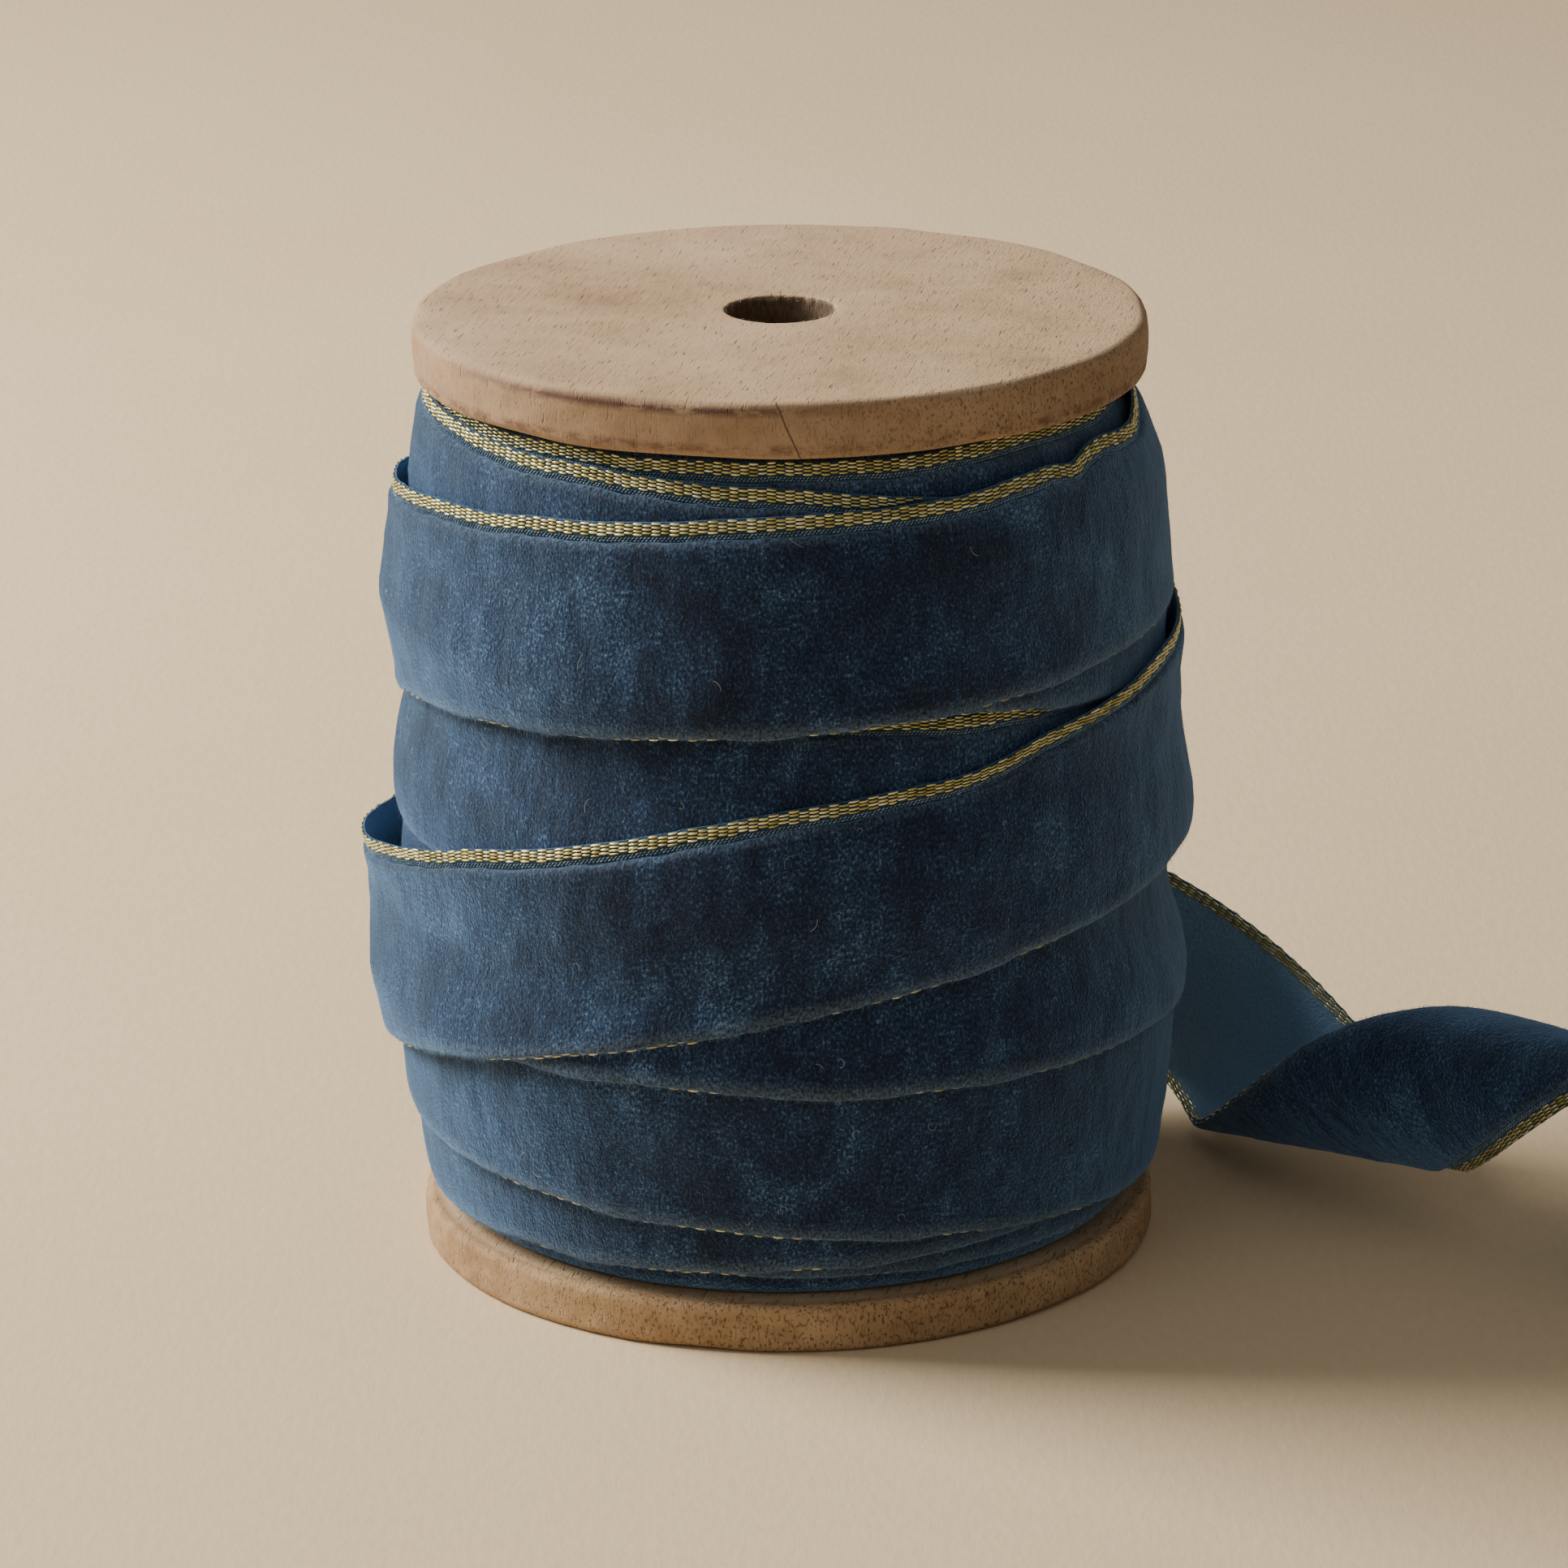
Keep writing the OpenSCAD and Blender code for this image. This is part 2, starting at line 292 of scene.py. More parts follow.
# ---------------------------------------------------------------- meshes
def make(name, points, faces, look, smooth=True, lay=None):
    """A mesh from points in millimetres and a list of face arrays, each of one corner count."""
    points = np.asarray(points, float).reshape(-1, 3) * MM
    faces = [np.asarray(f, np.int64).reshape(len(f), -1) for f in faces if len(f)]
    me = bpy.data.meshes.new(name)
    me.vertices.add(len(points))
    me.vertices.foreach_set("co", points.astype(np.float32).ravel())
    corners = np.concatenate([f.ravel() for f in faces])
    counts = np.concatenate([np.full(len(f), f.shape[1]) for f in faces])
    me.loops.add(len(corners))
    me.loops.foreach_set("vertex_index", corners.astype(np.int32))
    me.polygons.add(len(counts))
    me.polygons.foreach_set("loop_start", np.concatenate([[0], np.cumsum(counts)[:-1]]).astype(np.int32))
    me.polygons.foreach_set("use_smooth", np.full(len(counts), smooth))
    if lay is not None:
        at = me.attributes.new("lay", "FLOAT_VECTOR", "POINT")
        at.data.foreach_set("vector", np.asarray(lay, np.float32).ravel())
    me.update(calc_edges=True)
    me.validate()
    me.materials.append(look)
    o = bpy.data.objects.new(name, me)
    bpy.context.scene.collection.objects.link(o)
    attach(o, "root")
    return o


def loft(rings):
    """Quads and two caps of a closed form through rings of the same number of points."""
    n, m = rings.shape[:2]
    i, j = np.meshgrid(np.arange(n - 1), np.arange(m), indexing="ij")
    a, b = i * m + j, i * m + (j + 1) % m
    quads = np.stack([a, b, b + m, a + m], -1).reshape(-1, 4)
    caps = np.array([np.arange(m)[::-1], (n - 1) * m + np.arange(m)])
    p = rings.reshape(-1, 3)
    t = p[quads]
    volume = np.einsum("ij,ij->", t[:, 0], np.cross(t[:, 1], t[:, 2])) \
        + np.einsum("ij,ij->", t[:, 0], np.cross(t[:, 2], t[:, 3]))
    if volume < 0:
        quads, caps = quads[:, ::-1], caps[:, ::-1]
    return p, [quads, caps]


CLOTH_SEED = 11
ground = 0.34       # thickness of the woven cloth under the pile


def cloth_profile(s, thick):
    """The ribbon's cross-section at each s: v and out of every point, and how much of it is pile."""
    low = 0.50 + 0.34 * noise(s / 7, 2.2, CLOTH_SEED) + 0.14 * noise(s / 0.9, 4.4, CLOTH_SEED + 1)
    high = 22.75 + 0.14 * noise(s / 2.7, 6.1, CLOTH_SEED + 2) + 0.10 * noise(s / 0.8, 1.1, CLOTH_SEED + 3)
    one = np.ones_like(s)
    v, out, pile = [], [], []

    def add(a, b, c):
        v.append(a * one)
        out.append(b * one)
        pile.append(c * one)

    add(0, 0.05, 0)
    add(0.02, ground * 0.8, 0)
    add(0.35, ground, 0)
    add(low - 0.05, ground, 0.3)
    add(low - 0.35, mix(ground, thick, 0.30), 0.7)
    add(low - 0.30, mix(ground, thick, 0.62), 1)
    add(low + 0.10, mix(ground, thick, 0.90), 1)
    add(low + 0.70, thick, 1)
    for k in range(1, 17):
        across = mix(low + 0.7, high - 0.8, k / 17)
        nap = 0.10 * noise(s / 2.4, across / 4.5, CLOTH_SEED + 5) \
            + 0.05 * noise(s / 0.9, across / 1.7, CLOTH_SEED + 6)
        add(across, thick + nap, 1)
    add(high - 0.80, thick, 1)
    add(high - 0.30, mix(ground, thick, 0.86), 1)
    add(high - 0.05, mix(ground, thick, 0.45), 0.8)
    add(high + 0.05, ground, 0.2)
    add(23.2, ground * 0.9, 0)
    add(23.6, ground, 0)
    add(24.5, ground, 0)
    add(24.98, ground * 0.8, 0)
    add(25, 0.05, 0)
    for across in (24.6, 19, 12.5, 6, 0.4):
        add(across, 0.0, -1)
    return np.stack(v, 1), np.stack(out, 1), np.stack(pile, 1)


def float_shape(rings=(-0.72, 0.0, 0.72), sides=6):
    """A thread float from -1 to 1 in each direction: points and faces."""
    pts, tri, quad = [(-1, 0, 0)], [], []
    for t in rings:
        w = math.sqrt(1 - 0.8 * t * t)
        for k in range(sides):
            a = 2 * math.pi * k / sides
            pts.append((t, w * math.cos(a), w * math.sin(a)))
    pts.append((1, 0, 0))
    for k in range(sides):
        k2 = (k + 1) % sides
        tri.append((0, 1 + k2, 1 + k))
        last = 1 + (len(rings) - 1) * sides
        tri.append((len(pts) - 1, last + k, last + k2))
        for r in range(len(rings) - 1):
            a = 1 + r * sides
            quad.append((a + k, a + k2, a + sides + k2, a + sides + k))
    return np.array(pts, float), np.array(tri), np.array(quad)


def floats_piece(name, place, cs, cv, sizes, look, seed, tilt=0):
    """Thread floats with their middles at (cs, cv), each bowed over the cloth.

    sizes are a float's length, width and height, and its lift from the cloth's back.
    """
    length, width, height, lift = sizes
    shape, tri, quad = float_shape()
    rng = np.random.default_rng(seed)
    n = len(cs)
    if not n:
        return None
    lengths = length * (1 + 0.06 * rng.standard_normal(n))
    widths = width * (1 + 0.07 * rng.standard_normal(n))
    ds = shape[None, :, 0] * lengths[:, None] / 2
    dv = shape[None, :, 1] * widths[:, None] / 2 + tilt * ds
    bow = lift + height * (0.5 - 0.55 * shape[None, :, 0] ** 2) + shape[None, :, 2] * height / 2
    bow = bow + 0.02 * rng.standard_normal(n)[:, None]
    s, v = cs[:, None] + ds, cv[:, None] + dv + 0.015 * rng.standard_normal(n)[:, None]
    p = place(s, v, bow)
    m = len(shape)
    base = (np.arange(n) * m)[:, None, None]
    own = np.stack([0 * s + rng.random(n)[:, None], 0 * s + shape[None, :, 0],
                    0 * s + rng.random(n)[:, None]], -1)
    return make(name, p, [(tri[None] + base).reshape(-1, 3), (quad[None] + base).reshape(-1, 4)],
                look, lay=own.reshape(-1, 3))


GROUP = 1.16                                # length of one group of floats along the selvedge
GOLD_FLOAT = (1.42, 0.305, 0.22, 0.36)      # length, width, height, lift
GOLD_BACK_FLOAT = (1.42, 0.305, -0.20, -0.02)
STITCH = 0.50                               # spacing of the blue stitches beside the upper selvedge
STITCH_FLOAT = (0.44, 0.17, 0.18, 0.34)
STITCH_ROWS, STITCH_TILT = (23.28, 23.00), -0.45


def selvedge_floats(s0, s1, keep):
    """Middles of the gold floats of both selvedges between s0 and s1 that keep() lets through."""
    cs, cv = [], []
    for v0 in (0.0, ribbon_w - selvedge_w):
        groups = np.arange(int((s1 - s0) / GROUP))
        for rows, odd in ((4, 0), (3, 1)):
            g = groups[groups % 2 == odd]
            for k in range(rows):
                v = v0 + selvedge_w / 2 + (k - 1.5 + 0.5 * odd) * 0.405
                cs.append(s0 + (g + 0.5) * GROUP)
                cv.append(np.full(len(g), v))
    cs, cv = np.concatenate(cs), np.concatenate(cv)
    ok = keep(cs, cv)
    return cs[ok], cv[ok]


def stitch_middles(s0, s1):
    g = np.arange(s0, s1, STITCH)
    return np.concatenate([g, g + STITCH / 2]), np.concatenate([0 * g + v for v in STITCH_ROWS])


def fibres_piece(name, place, s, v, out, ds, dv, rise, width, look, seed):
    """Fibres as thin blades, each from (s, v, out) to (s + ds, v + dv, out + rise)."""
    if not len(s):
        return None
    half = width / 2
    a = place(s - half, v, out)
    b = place(s + half, v, out)
    c = place(s + 0.55 * ds, v + 0.55 * dv, out + 0.7 * rise)
    tip = place(s + ds, v + dv, out + rise)
    p = np.stack([a, b, c, tip], 1)
    waist = (p[:, 1] - p[:, 0]) * 0.35
    p = np.stack([p[:, 0], p[:, 1], p[:, 2] + waist, p[:, 2] - waist, p[:, 3]], 1)
    n = len(s)
    base = (np.arange(n) * 5)[:, None]
    rng = np.random.default_rng(seed + 77)
    own = np.stack([np.repeat(rng.random(n)[:, None], 5, 1), np.tile([0, 0, 0.55, 0.55, 1.0], (n, 1)),
                    np.repeat(rng.random(n)[:, None], 5, 1)], -1)
    return make(name, p, [np.array([[0, 1, 2, 3]]) + base, np.array([[3, 2, 4]]) + base], look,
                lay=own.reshape(-1, 3))


# ---------------------------------------------------------------- materials
def material(name):
    m = bpy.data.materials.new(name)
    m.use_nodes = True
    nt = m.node_tree
    nt.nodes.clear()
    out = nt.nodes.new("ShaderNodeOutputMaterial")
    bsdf = nt.nodes.new("ShaderNodeBsdfPrincipled")
    nt.links.new(bsdf.outputs[0], out.inputs[0])
    return m, nt, bsdf


class Nodes:
    """Short ways to add nodes to a tree."""

    def __init__(self, nt):
        self.nt = nt

    def link(self, value, socket):
        if isinstance(value, bpy.types.NodeSocket):
            self.nt.links.new(value, socket)
        elif value is not None:
            socket.default_value = value

    def math(self, op, a, b=None, c=None):
        n = self.nt.nodes.new("ShaderNodeMath")
        n.operation = op
        for value, socket in zip((a, b, c), n.inputs):
            self.link(value, socket)
        return n.outputs[0]

    def scaled(self, vector, scale):
        n = self.nt.nodes.new("ShaderNodeVectorMath")
        n.operation = "MULTIPLY"
        self.link(vector, n.inputs[0])
        n.inputs[1].default_value = scale
        return n.outputs[0]

    def rotated(self, vector, angle):
        n = self.nt.nodes.new("ShaderNodeVectorRotate")
        self.link(vector, n.inputs["Vector"])
        n.inputs["Axis"].default_value = (0, 0, 1)
        n.inputs["Angle"].default_value = math.radians(angle)
        return n.outputs[0]

    def place(self):
        return self.nt.nodes.new("ShaderNodeTexCoord").outputs["Object"]

    def lay(self):
        n = self.nt.nodes.new("ShaderNodeAttribute")
        n.attribute_name = "lay"
        return n.outputs["Vector"]

    def split(self, vector):
        n = self.nt.nodes.new("ShaderNodeSeparateXYZ")
        self.link(vector, n.inputs[0])
        return n.outputs

    def noise(self, vector, scale, detail=2, rough=0.5, distort=0):
        n = self.nt.nodes.new("ShaderNodeTexNoise")
        self.link(vector, n.inputs["Vector"])
        n.inputs["Scale"].default_value = scale
        n.inputs["Detail"].default_value = detail
        n.inputs["Roughness"].default_value = rough
        n.inputs["Distortion"].default_value = distort
        return n.outputs["Fac"]

    def ramp(self, value, stops):
        n = self.nt.nodes.new("ShaderNodeValToRGB")
        e = n.color_ramp.elements
        while len(e) < len(stops):
            e.new(0.5)
        for el, (pos, col) in zip(e, stops):
            el.position = pos
            el.color = (*col, 1)
        self.link(value, n.inputs[0])
        return n.outputs[0]

    def span(self, value, lo, hi, a=0.0, b=1.0):
        n = self.nt.nodes.new("ShaderNodeMapRange")
        self.link(value, n.inputs["Value"])
        for key, x in (("From Min", lo), ("From Max", hi), ("To Min", a), ("To Max", b)):
            n.inputs[key].default_value = x
        return n.outputs[0]

    def blend(self, fac, a, b):
        n = self.nt.nodes.new("ShaderNodeMix")
        n.data_type = "RGBA"
        self.link(fac, n.inputs[0])
        self.link((*a, 1) if isinstance(a, tuple) else a, n.inputs[6])
        self.link((*b, 1) if isinstance(b, tuple) else b, n.inputs[7])
        return n.outputs[2]

    def bump(self, height, distance, strength=1.0, normal=None):
        n = self.nt.nodes.new("ShaderNodeBump")
        self.link(height, n.inputs["Height"])
        n.inputs["Distance"].default_value = distance
        n.inputs["Strength"].default_value = strength
        if normal is not None:
            self.link(normal, n.inputs["Normal"])
        return n.outputs[0]


def velvet_material():
    """Crushed velvet pile on top, woven satin back, told apart by the third number of the lay attribute."""
    m, nt, bsdf = material("velvet_pile")
    k = Nodes(nt)
    lay = k.lay()
    _, across, pile = k.split(lay)
    grain = k.noise(k.scaled(lay, (1, 0.7, 1)), 3.0, 3, 0.72)
    streak = k.noise(k.scaled(lay, (1, 0.45, 1)), 0.8, 2, 0.55)
    patch = k.noise(k.scaled(lay, (1, 0.85, 1)), 0.11, 2, 0.5, 0.5)
    value = k.math("MULTIPLY_ADD", streak, 0.14, k.math("MULTIPLY", patch, 0.28))
    value = k.math("MULTIPLY_ADD", grain, 0.70, value)
    nap = k.ramp(k.span(value, 0.43, 0.73), [
        (0.0, (0.0010, 0.0030, 0.011)), (0.38, (0.0042, 0.0135, 0.041)),
        (0.68, (0.017, 0.048, 0.116)), (1.0, (0.125, 0.235, 0.390))])
    # painted highlight: a paler fringe along both edges of the pile stands in for the fuzz there catching the
    # light
    painted_edge_sheen = k.math("MAXIMUM", k.span(across, 2.2, 0.8), k.span(across, 21.6, 22.9))
    painted_edge_sheen = k.math("MULTIPLY", painted_edge_sheen, k.span(grain, 0.35, 0.7))
    nap = k.blend(k.math("MULTIPLY", painted_edge_sheen, 0.8), nap, (0.100, 0.150, 0.205))
    weave = k.noise(k.scaled(lay, (1, 0.35, 1)), 5.0, 2, 0.5)
    back = k.ramp(weave, [(0.3, (0.150, 0.290, 0.480)), (0.7, (0.215, 0.385, 0.590))])
    ground = k.ramp(grain, [(0.3, (0.010, 0.026, 0.050)), (0.75, (0.035, 0.075, 0.120))])
    colour = k.blend(k.span(pile, 0.2, 0.6), ground, nap)
    colour = k.blend(k.span(pile, -0.2, -0.6), colour, back)
    nt.links.new(colour, bsdf.inputs["Base Color"])
    rough = k.span(pile, -0.6, 0.0, 0.48, 0.86)
    nt.links.new(rough, bsdf.inputs["Roughness"])
    bsdf.inputs["Sheen Weight"].default_value = 1.0
    bsdf.inputs["Sheen Roughness"].default_value = 0.34
    bsdf.inputs["Sheen Tint"].default_value = (0.33, 0.59, 1.0, 1)
    bsdf.inputs["Specular IOR Level"].default_value = 0.25
    height = k.math("MULTIPLY_ADD", grain, 0.6, k.math("MULTIPLY", streak, 0.5))
    wide = k.bump(k.noise(k.scaled(lay, (1, 0.6, 1)), 0.16, 1, 0.4), 0.0012, 0.6)
    nt.links.new(k.bump(height, 0.00055, 1.0, wide), bsdf.inputs["Normal"])
    return m


def fibre_material(name, dark, light, sheen):
    m, nt, bsdf = material(name)
    k = Nodes(nt)
    own, tip, _ = k.split(k.lay())
    mottle = k.noise(k.place(), 260, 2, 0.5)
    f = k.math("MULTIPLY_ADD", tip, 0.25, k.math("MULTIPLY", mottle, 0.35))
    f = k.math("MULTIPLY_ADD", own, 0.45, f)
    nt.links.new(k.ramp(f, [(0.15, dark), (0.85, light)]), bsdf.inputs["Base Color"])
    bsdf.inputs["Roughness"].default_value = 0.7
    bsdf.inputs["Sheen Weight"].default_value = sheen
    bsdf.inputs["Sheen Roughness"].default_value = 0.4
    bsdf.inputs["Sheen Tint"].default_value = (0.6, 0.75, 0.9, 1)
    bsdf.inputs["Specular IOR Level"].default_value = 0.2
    return m


def gold_material():
    m, nt, bsdf = material("gold_thread")
    k = Nodes(nt)
    own, end, other = k.split(k.lay())
    twist = k.noise(k.place(), 900, 2, 0.6)
    tint = k.math("MULTIPLY_ADD", own, 0.6, k.math("MULTIPLY", twist, 0.45))
    colour = k.ramp(tint, [(0.15, (0.29, 0.255, 0.070)), (0.55, (0.62, 0.570, 0.235)),
                           (0.95, (0.92, 0.88, 0.60))])
    # painted shade: each float is darkened towards its two ends, where it meets the cloth between the floats
    far = k.math("ABSOLUTE", end)
    colour = k.blend(k.span(far, 0.7, 1.0, 0, 0.7), colour, (0.12, 0.09, 0.02))
    nt.links.new(colour, bsdf.inputs["Base Color"])
    bsdf.inputs["Metallic"].default_value = 0.78
    nt.links.new(k.span(other, 0, 1, 0.26, 0.46), bsdf.inputs["Roughness"])
    nt.links.new(k.bump(twist, 0.00008, 0.8), bsdf.inputs["Normal"])
    return m


def wood_material(name, top, scale_shift, rim_tones, rim_from, pits_from):
    """Raw wood: pores on a diagonal, mottling and a darker rim with pits, more of them right of pits_from."""
    m, nt, bsdf = material(name)
    k = Nodes(nt)
    at = k.place()
    x, y, z = k.split(at)
    turned = k.rotated(at, -78)
    pores = k.noise(k.scaled(turned, (340, 3600, 600)), 1.0, 1, 0.5)
    pore = k.span(pores, 0.64, 0.74)
    fine = k.noise(k.scaled(turned, (240, 2200, 900)), 1.0, 3, 0.65)
    mottle = k.noise(at, 34 + scale_shift, 4, 0.6, 0.4)
    patches = k.noise(at, 95 + scale_shift, 3, 0.55)
    tone = k.math("MULTIPLY_ADD", patches, 0.3, k.math("MULTIPLY", fine, 0.25))
    base = k.ramp(k.math("MULTIPLY_ADD", mottle, 0.55, tone), list(zip((0.36, 0.55, 0.74), top)))
    base = k.blend(k.math("MULTIPLY", pore, 0.55), base, (0.085, 0.052, 0.032))
    # the rim, by its distance from the axis
    far = k.math("SQRT", k.math("ADD", k.math("MULTIPLY", x, x), k.math("MULTIPLY", y, y)))
    rim = k.span(far, rim_from, rim_from + 0.001)
    pits = k.noise(k.scaled(at, (1, 1, 0.6)), 3000, 2, 0.6)
    coarse = k.noise(at, 420, 2, 0.6)
    many = k.math("MULTIPLY_ADD", k.span(x, pits_from, pits_from + 0.032), 0.7, 0.18)
    pit = k.math("MULTIPLY", k.span(pits, 0.56, 0.70), many)
    side = k.ramp(k.math("MULTIPLY_ADD", mottle, 0.6, k.math("MULTIPLY", coarse, 0.4)),
                  list(zip((0.3, 0.7), rim_tones)))
    side = k.blend(k.math("MULTIPLY", pit, 0.8), side, (0.045, 0.026, 0.014))
    colour = k.blend(rim, base, side)
    return m, nt, bsdf, k, dict(at=at, x=x, y=y, z=z, far=far, rim=rim, colour=colour, pit=pit,
                                pore=pore, fine=fine)


def top_wood():
    m, nt, bsdf, k, n = wood_material(
        "wood_top", ((0.25, 0.155, 0.085), (0.42, 0.288, 0.172), (0.53, 0.385, 0.245)), 0,
        ((0.225, 0.142, 0.080), (0.385, 0.262, 0.160)), 0.0419, -0.006)
    colour = n["colour"]
    # stains along the front of the upper edge and low on the rim's left
    ragged = k.noise(k.scaled(n["at"], (1, 1, 2)), 330, 4, 0.7)
    edge = k.math("ABSOLUTE", k.math("SUBTRACT", n["z"], 0.11245))
    line = k.math("MULTIPLY", k.span(edge, 0.0009, 0.0001), k.span(n["far"], 0.0421, 0.0427))
    where = k.math("MULTIPLY", k.span(n["x"], 0.010, -0.004), k.span(n["y"], -0.020, -0.034))
    line = k.math("MULTIPLY", k.math("MULTIPLY", line, where), k.span(ragged, 0.36, 0.50))
    colour = k.blend(k.math("MULTIPLY", line, 0.85), colour, (0.075, 0.035, 0.030))
    low = k.math("ABSOLUTE", k.math("SUBTRACT", n["z"], 0.1080))
    stain = k.math("MULTIPLY", k.span(low, 0.0008, 0.0002), k.span(ragged, 0.44, 0.60))
    stain = k.math("MULTIPLY", k.math("MULTIPLY", stain, n["rim"]), k.span(n["y"], 0.010, -0.020))
    colour = k.blend(k.math("MULTIPLY", stain, 0.7), colour, (0.110, 0.045, 0.028))
    # a fine crack down the front of the rim
    drift = k.math("MULTIPLY_ADD", k.math("SUBTRACT", n["z"], 0.1102), -0.42, 0.0005)
    path = k.math("MULTIPLY_ADD", k.noise(n["at"], 500, 2), 0.0006, drift)
    crack = k.math("ABSOLUTE", k.math("SUBTRACT", n["x"], path))
    front = k.math("MULTIPLY", n["rim"], k.span(n["y"], -0.02, -0.03))
    crack = k.math("MULTIPLY", k.span(crack, 0.00012, 0.00003), front)
    colour = k.blend(k.math("MULTIPLY", crack, 0.65), colour, (0.030, 0.018, 0.012))
    # painted shade: the wall of the spindle hole is painted dark
    bore = k.span(n["far"], 0.00665, 0.00640)
    painted_bore_shade = k.ramp(n["fine"], [(0.3, (0.030, 0.017, 0.010)), (0.7, (0.115, 0.070, 0.040))])
    colour = k.blend(k.math("MULTIPLY", bore, 0.92), colour, painted_bore_shade)
    nt.links.new(colour, bsdf.inputs["Base Color"])
    bsdf.inputs["Roughness"].default_value = 0.82
    bsdf.inputs["Specular IOR Level"].default_value = 0.28
    height = k.math("ADD", n["pore"], k.math("MULTIPLY", n["pit"], 1.2))
    height = k.math("SUBTRACT", k.math("MULTIPLY", n["fine"], 0.35), height)
    height = k.math("SUBTRACT", height, k.math("MULTIPLY", crack, 1.5))
    nt.links.new(k.bump(height, 0.00016, 0.75), bsdf.inputs["Normal"])
    return m


def bottom_wood():
    m, nt, bsdf, k, n = wood_material(
        "wood_bottom", ((0.34, 0.23, 0.13), (0.47, 0.34, 0.21), (0.57, 0.44, 0.30)), 7,
        ((0.25, 0.150, 0.072), (0.45, 0.305, 0.170)), 0.0419, -0.042)
    nt.links.new(n["colour"], bsdf.inputs["Base Color"])
    bsdf.inputs["Roughness"].default_value = 0.8
    bsdf.inputs["Specular IOR Level"].default_value = 0.28
    height = k.math("ADD", n["pore"], k.math("MULTIPLY", n["pit"], 1.4))
    height = k.math("SUBTRACT", k.math("MULTIPLY", n["fine"], 0.35), height)
    nt.links.new(k.bump(height, 0.00018, 0.8), bsdf.inputs["Normal"])
    return m


def barrel_wood():
    m, nt, bsdf = material("wood_barrel")
    k = Nodes(nt)
    at = k.place()
    grain = k.noise(k.scaled(at, (900, 900, 40)), 1.0, 3, 0.6)
    colour = k.ramp(grain, [(0.3, (0.055, 0.032, 0.018)), (0.55, (0.16, 0.10, 0.055)),
                            (0.8, (0.27, 0.18, 0.10))])
    nt.links.new(colour, bsdf.inputs["Base Color"])
    bsdf.inputs["Roughness"].default_value = 0.85
    nt.links.new(k.bump(grain, 0.00015, 0.8), bsdf.inputs["Normal"])
    return m


def splinter_material():
    m, nt, bsdf = material("wood_splinter")
    k = Nodes(nt)
    grain = k.noise(k.place(), 1400, 2, 0.5)
    colour = k.ramp(grain, [(0.3, (0.22, 0.14, 0.085)), (0.7, (0.52, 0.41, 0.30))])
    nt.links.new(colour, bsdf.inputs["Base Color"])
    bsdf.inputs["Roughness"].default_value = 0.85
    return m


def paper_material():
    m, nt, bsdf = material("paper_tape")
    k = Nodes(nt)
    fibre = k.noise(k.scaled(k.place(), (1, 1, 2.5)), 700, 4, 0.65)
    colour = k.ramp(fibre, [(0.3, (0.58, 0.49, 0.34)), (0.7, (0.74, 0.66, 0.50))])
    nt.links.new(colour, bsdf.inputs["Base Color"])
    bsdf.inputs["Roughness"].default_value = 0.75
    nt.links.new(k.bump(fibre, 0.0001, 0.6), bsdf.inputs["Normal"])
    return m


def floor_material():
    m, nt, bsdf = material("floor_cloth")
    k = Nodes(nt)
    at = k.place()
    fine = k.noise(k.scaled(at, (1, 0.35, 1)), 900, 3, 0.6)
    wide = k.noise(at, 9, 3, 0.5)
    f = k.math("MULTIPLY_ADD", fine, 0.6, k.math("MULTIPLY", wide, 0.4))
    colour = k.ramp(f, [(0.3, (0.590, 0.455, 0.290)), (0.7, (0.650, 0.515, 0.335))])
    nt.links.new(colour, bsdf.inputs["Base Color"])
    bsdf.inputs["Roughness"].default_value = 0.9
    bsdf.inputs["Specular IOR Level"].default_value = 0.15
    nt.links.new(k.bump(fine, 0.0002, 0.35), bsdf.inputs["Normal"])
    return m


VELVET = velvet_material()
FUZZ = fibre_material("velvet_fuzz", (0.006, 0.016, 0.040), (0.13, 0.21, 0.33), 0.6)
LINT = fibre_material("velvet_lint", (0.16, 0.20, 0.24), (0.48, 0.53, 0.56), 0.4)
GROUND = fibre_material("ground_thread", (0.030, 0.075, 0.120), (0.30, 0.42, 0.52), 0.9)
GOLD = gold_material()

# ---------------------------------------------------------------- the ribbon
RINGS = 260                 # cross-sections in a turn
END_LAP = 0.5               # how far the two ends of a turn's mesh reach into its neighbours
FREE_PILE, PRESSED_PILE = 1.08, 0.84
PILE_W = 22                 # the pile's width, from one selvedge to the other
FUZZ_PER_MM2 = 3.8
EDGE_FUZZ_PER_MM = 22
FUZZ_V = (0.9, 22.7)
FUZZ_LENGTH, FUZZ_WIDTH = (0.35, 0.85), (0.022, 0.042)


def on_turn(s, v, out):
    return wound(s / quarter_len, v, out)


def shown(s, v):
    return hidden(s / quarter_len, v) < 0.75


def end_inside(out):
    """The first or last cross-section, thinned so that it ends inside its neighbour."""
    return mix(out, 0.5, 0.05)


